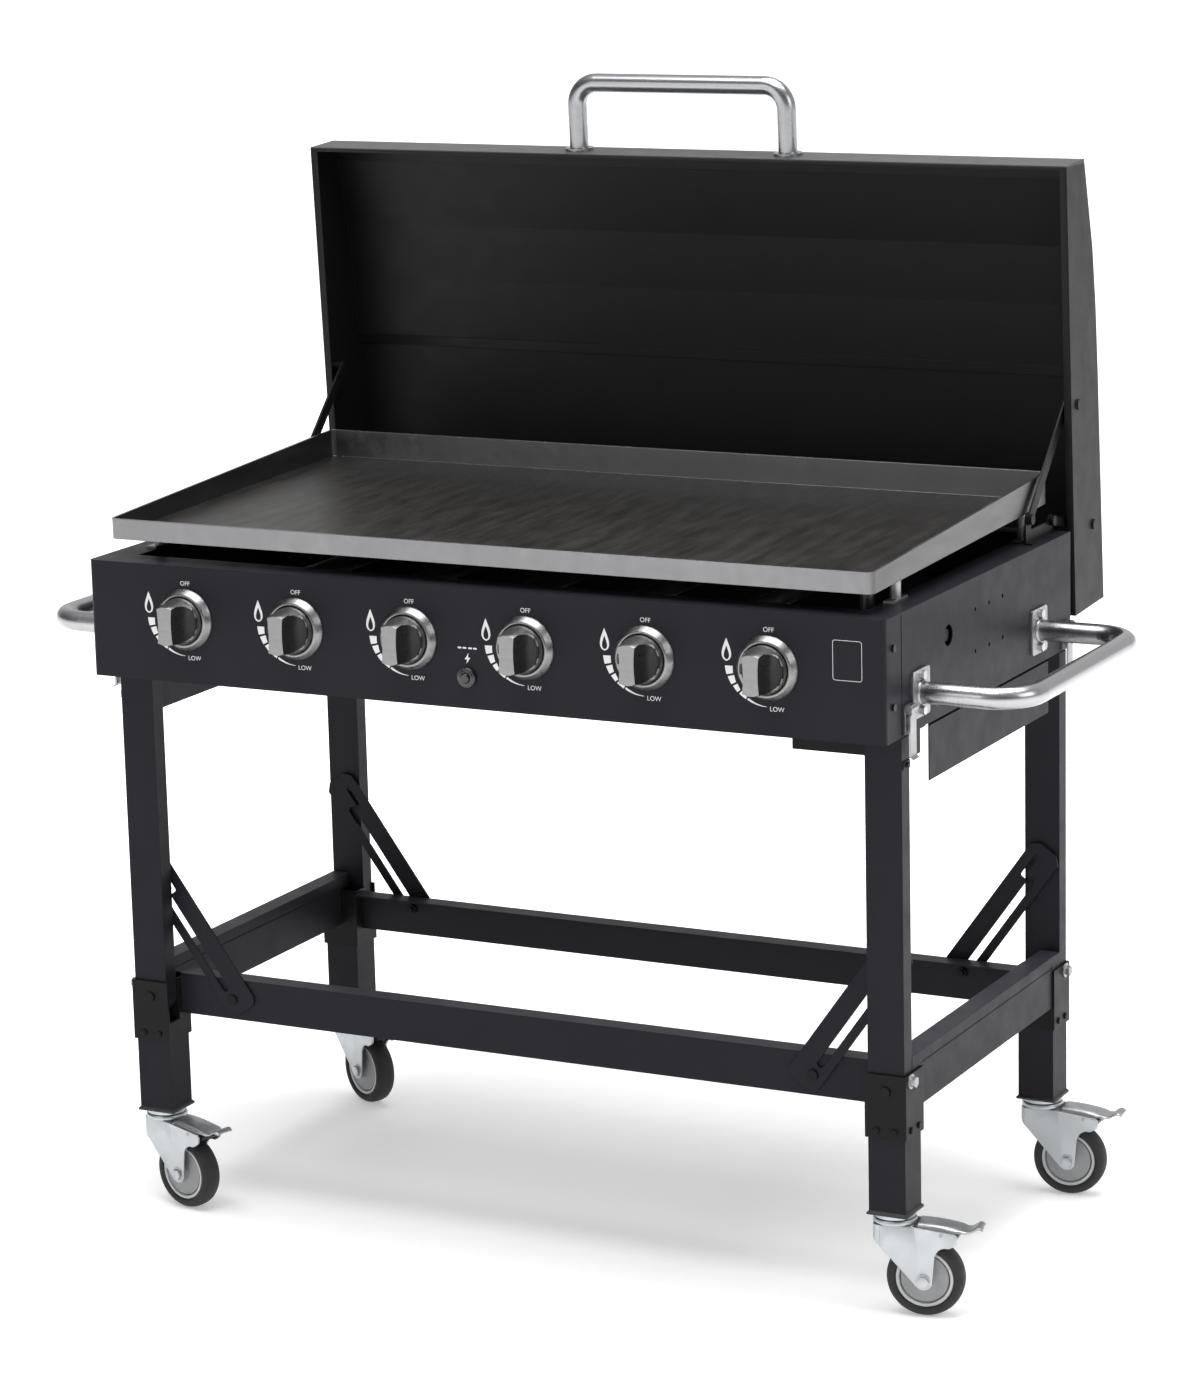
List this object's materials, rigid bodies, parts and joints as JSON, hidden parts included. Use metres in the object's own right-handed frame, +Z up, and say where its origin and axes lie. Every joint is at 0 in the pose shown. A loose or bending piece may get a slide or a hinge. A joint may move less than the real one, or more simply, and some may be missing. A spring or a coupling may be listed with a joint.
{
  "type": "gas griddle",
  "caption": "Gas griddle on a folding cart: linked lid, flat steel plate, burner knobs, side handles, braked casters",
  "frame": {"origin": "On the floor under the middle of the overall box with the lid open.", "axes": "+X to the right seen from the front, +Y to the back, +Z up."},
  "size_m": [1.436, 0.7944, 1.4968],
  "materials": {
    "charcoal_paint": "satin",
    "black_paint": "satin",
    "zinc": "satin",
    "bright_steel": "satin",
    "griddle_steel": "satin",
    "chrome": "gloss",
    "knob_finish": "gloss",
    "black_plastic": "matte",
    "tyre_rubber": "matte",
    "burner_steel": "satin",
    "valve_brass": "satin",
    "pipe_steel": "satin"
  },
  "bodies": {
    "cart": {"cart_rails": "charcoal_paint", "lower_legs": "charcoal_paint", "corner_brackets": "black_paint", "leg_end_plugs": "black_plastic", "cart_bolts": "black_paint", "lock_bolts": "bright_steel", "caster_stems": "zinc"},
    "head": {"control_panel": "charcoal_paint", "side_panels": "charcoal_paint", "rear_panel": "charcoal_paint", "bottom_pan": "bright_steel", "side_skirts": "charcoal_paint", "burners": "burner_steel", "gas_valves": "valve_brass", "gas_manifold": "pipe_steel", "knob_bezels": "chrome", "igniter_body": "black_plastic", "plate_rests": "bright_steel", "side_handles": "chrome", "handle_plates": "bright_steel", "head_bolts": "bright_steel", "latch_bases": "bright_steel", "lid_brackets": "black_paint"},
    "leg_front_right": {"upper_leg_front_right": "charcoal_paint"},
    "brace_arm_front_right": {"brace_front_right": "charcoal_paint"},
    "caster_front_right": {"caster_fork_front_right": "zinc"},
    "wheel_front_right": {"caster_wheel_front_right": "tyre_rubber"},
    "pedal_front_right": {"brake_pedal_front_right": "zinc"},
    "clasp_front_right": {"latch_front_right": "bright_steel"},
    "leg_rear_right": {"upper_leg_rear_right": "charcoal_paint"},
    "brace_arm_rear_right": {"brace_rear_right": "charcoal_paint"},
    "caster_rear_right": {"caster_fork_rear_right": "zinc"},
    "wheel_rear_right": {"caster_wheel_rear_right": "tyre_rubber"},
    "pedal_rear_right": {"brake_pedal_rear_right": "zinc"},
    "clasp_rear_right": {"latch_rear_right": "bright_steel"},
    "leg_front_left": {"upper_leg_front_left": "charcoal_paint"},
    "brace_arm_front_left": {"brace_front_left": "charcoal_paint"},
    "caster_front_left": {"caster_fork_front_left": "zinc"},
    "wheel_front_left": {"caster_wheel_front_left": "tyre_rubber"},
    "pedal_front_left": {"brake_pedal_front_left": "zinc"},
    "clasp_front_left": {"latch_front_left": "bright_steel"},
    "leg_rear_left": {"upper_leg_rear_left": "charcoal_paint"},
    "brace_arm_rear_left": {"brace_rear_left": "charcoal_paint"},
    "caster_rear_left": {"caster_fork_rear_left": "zinc"},
    "wheel_rear_left": {"caster_wheel_rear_left": "tyre_rubber"},
    "pedal_rear_left": {"brake_pedal_rear_left": "zinc"},
    "clasp_rear_left": {"latch_rear_left": "bright_steel"},
    "knob_turn_1": {"knob_1": "knob_finish"},
    "knob_turn_2": {"knob_2": "knob_finish"},
    "knob_turn_3": {"knob_3": "knob_finish"},
    "knob_turn_4": {"knob_4": "knob_finish"},
    "knob_turn_5": {"knob_5": "knob_finish"},
    "knob_turn_6": {"knob_6": "knob_finish"},
    "igniter": {"igniter_button": "black_plastic"},
    "plate": {"griddle_plate": "griddle_steel"},
    "drawer": {"grease_drawer": "black_paint"},
    "lid_arm_pair": {"lid_arms": "black_paint"},
    "lid": {"lid_shell": "charcoal_paint", "lid_handle": "chrome"},
    "lid_link_pair": {"lid_links": "black_paint"}
  },
  "joints": [
    {"name": "head_lift", "type": "slide", "parent": "cart", "child": "head", "axis": [0, 0, 1], "range_m": [0, 0.25]},
    {"name": "fold_front_right", "type": "hinge", "parent": "cart", "child": "leg_front_right", "pos_m": [0.54, -0.27867, 0.297], "axis": [0, -1, 0], "range_deg": [0, 90]},
    {"name": "brace_turn_front_right", "type": "hinge", "parent": "cart", "child": "brace_arm_front_right", "pos_m": [0.428, -0.26177, 0.297], "axis": [0, -1, 0], "range_deg": [0, 128.42]},
    {"name": "swivel_front_right", "type": "hinge", "parent": "cart", "child": "caster_front_right", "pos_m": [0.54, -0.26617, 0.124], "axis": [0, 0, 1], "continuous": true},
    {"name": "roll_front_right", "type": "hinge", "parent": "caster_front_right", "child": "wheel_front_right", "pos_m": [0.57815, -0.25806, 0.05], "axis": [-0.2079, 0.9781, 0], "continuous": true},
    {"name": "brake_front_right", "type": "hinge", "parent": "caster_front_right", "child": "pedal_front_right", "pos_m": [0.60064, -0.25328, 0.112], "axis": [-0.2079, 0.9781, 0], "range_deg": [0, 8]},
    {"name": "latch_turn_front_right", "type": "hinge", "parent": "head", "child": "clasp_front_right", "pos_m": [0.5745, -0.27867, 0.7858], "axis": [0, -1, 0], "range_deg": [0, 110]},
    {"name": "fold_rear_right", "type": "hinge", "parent": "cart", "child": "leg_rear_right", "pos_m": [0.54, 0.25233, 0.297], "axis": [0, -1, 0], "range_deg": [0, 90]},
    {"name": "brace_turn_rear_right", "type": "hinge", "parent": "cart", "child": "brace_arm_rear_right", "pos_m": [0.428, 0.23543, 0.297], "axis": [0, -1, 0], "range_deg": [0, 128.42]},
    {"name": "swivel_rear_right", "type": "hinge", "parent": "cart", "child": "caster_rear_right", "pos_m": [0.54, 0.23983, 0.124], "axis": [0, 0, 1], "continuous": true},
    {"name": "roll_rear_right", "type": "hinge", "parent": "caster_rear_right", "child": "wheel_rear_right", "pos_m": [0.57879, 0.24391, 0.05], "axis": [-0.1045, 0.9945, 0], "continuous": true},
    {"name": "brake_rear_right", "type": "hinge", "parent": "caster_rear_right", "child": "pedal_rear_right", "pos_m": [0.60166, 0.24631, 0.112], "axis": [-0.1045, 0.9945, 0], "range_deg": [0, 8]},
    {"name": "latch_turn_rear_right", "type": "hinge", "parent": "head", "child": "clasp_rear_right", "pos_m": [0.5745, 0.25233, 0.7858], "axis": [0, -1, 0], "range_deg": [0, 110]},
    {"name": "fold_front_left", "type": "hinge", "parent": "cart", "child": "leg_front_left", "pos_m": [-0.54, -0.27867, 0.297], "axis": [0, 1, 0], "range_deg": [0, 90]},
    {"name": "brace_turn_front_left", "type": "hinge", "parent": "cart", "child": "brace_arm_front_left", "pos_m": [-0.428, -0.26177, 0.297], "axis": [0, 1, 0], "range_deg": [0, 128.42]},
    {"name": "swivel_front_left", "type": "hinge", "parent": "cart", "child": "caster_front_left", "pos_m": [-0.54, -0.26617, 0.124], "axis": [0, 0, 1], "continuous": true},
    {"name": "roll_front_left", "type": "hinge", "parent": "caster_front_left", "child": "wheel_front_left", "pos_m": [-0.50216, -0.2756, 0.05], "axis": [0.2419, 0.9703, 0], "continuous": true},
    {"name": "brake_front_left", "type": "hinge", "parent": "caster_front_left", "child": "pedal_front_left", "pos_m": [-0.47984, -0.28117, 0.112], "axis": [0.2419, 0.9703, 0], "range_deg": [0, 8]},
    {"name": "latch_turn_front_left", "type": "hinge", "parent": "head", "child": "clasp_front_left", "pos_m": [-0.5745, -0.27867, 0.7858], "axis": [0, 1, 0], "range_deg": [0, 110]},
    {"name": "fold_rear_left", "type": "hinge", "parent": "cart", "child": "leg_rear_left", "pos_m": [-0.54, 0.25233, 0.297], "axis": [0, 1, 0], "range_deg": [0, 90]},
    {"name": "brace_turn_rear_left", "type": "hinge", "parent": "cart", "child": "brace_arm_rear_left", "pos_m": [-0.428, 0.23543, 0.297], "axis": [0, 1, 0], "range_deg": [0, 128.42]},
    {"name": "swivel_rear_left", "type": "hinge", "parent": "cart", "child": "caster_rear_left", "pos_m": [-0.54, 0.23983, 0.124], "axis": [0, 0, 1], "continuous": true},
    {"name": "roll_rear_left", "type": "hinge", "parent": "caster_rear_left", "child": "wheel_rear_left", "pos_m": [-0.50525, 0.22213, 0.05], "axis": [0.454, 0.891, 0], "continuous": true},
    {"name": "brake_rear_left", "type": "hinge", "parent": "caster_rear_left", "child": "pedal_rear_left", "pos_m": [-0.48476, 0.21169, 0.112], "axis": [0.454, 0.891, 0], "range_deg": [0, 8]},
    {"name": "latch_turn_rear_left", "type": "hinge", "parent": "head", "child": "clasp_rear_left", "pos_m": [-0.5745, 0.25233, 0.7858], "axis": [0, 1, 0], "range_deg": [0, 110]},
    {"name": "burner_1", "type": "hinge", "parent": "head", "child": "knob_turn_1", "pos_m": [-0.422, -0.34717, 0.8368], "axis": [0, -1, 0], "range_deg": [0, 190]},
    {"name": "burner_2", "type": "hinge", "parent": "head", "child": "knob_turn_2", "pos_m": [-0.255, -0.34717, 0.8368], "axis": [0, -1, 0], "range_deg": [0, 190]},
    {"name": "burner_3", "type": "hinge", "parent": "head", "child": "knob_turn_3", "pos_m": [-0.088, -0.34717, 0.8368], "axis": [0, -1, 0], "range_deg": [0, 190]},
    {"name": "burner_4", "type": "hinge", "parent": "head", "child": "knob_turn_4", "pos_m": [0.079, -0.34717, 0.8368], "axis": [0, -1, 0], "range_deg": [0, 190]},
    {"name": "burner_5", "type": "hinge", "parent": "head", "child": "knob_turn_5", "pos_m": [0.246, -0.34717, 0.8368], "axis": [0, -1, 0], "range_deg": [0, 190]},
    {"name": "burner_6", "type": "hinge", "parent": "head", "child": "knob_turn_6", "pos_m": [0.413, -0.34717, 0.8368], "axis": [0, -1, 0], "range_deg": [0, 190]},
    {"name": "ignite", "type": "slide", "parent": "head", "child": "igniter", "axis": [0, 1, 0], "range_m": [0, 0.004], "stiffness_N_per_m": 800, "springref_m": -0.002},
    {"name": "plate_lift", "type": "slide", "parent": "head", "child": "plate", "axis": [0, 0, 1], "range_m": [0, 0.012]},
    {"name": "drawer_slide", "type": "slide", "parent": "head", "child": "drawer", "axis": [1, 0, 0], "range_m": [0, 0.12]},
    {"name": "lid_lift", "type": "hinge", "parent": "head", "child": "lid_arm_pair", "pos_m": [0, 0.1693, 0.9398], "axis": [1, 0, 0], "range_deg": [0, 133.52]},
    {"name": "lid_turn", "type": "hinge", "parent": "lid_arm_pair", "child": "lid", "pos_m": [0, 0.29955, 1.07187], "axis": [1, 0, 0], "range_deg": [-46.82, 0]},
    {"name": "link_turn", "type": "hinge", "parent": "head", "child": "lid_link_pair", "pos_m": [0, 0.24726, 0.9248], "axis": [1, 0, 0], "range_deg": [0, 155.58]}
  ],
  "couplings": [
    {"joint": "brace_turn_front_right", "follows": "fold_front_right", "ratio": 1.4258},
    {"joint": "brace_turn_rear_right", "follows": "fold_rear_right", "ratio": 1.4258},
    {"joint": "brace_turn_front_left", "follows": "fold_front_left", "ratio": 1.4258},
    {"joint": "brace_turn_rear_left", "follows": "fold_rear_left", "ratio": 1.4258},
    {"joint": "lid_turn", "follows": "lid_lift", "ratio": -0.34992},
    {"joint": "link_turn", "follows": "lid_lift", "ratio": 1.1645}
  ]
}
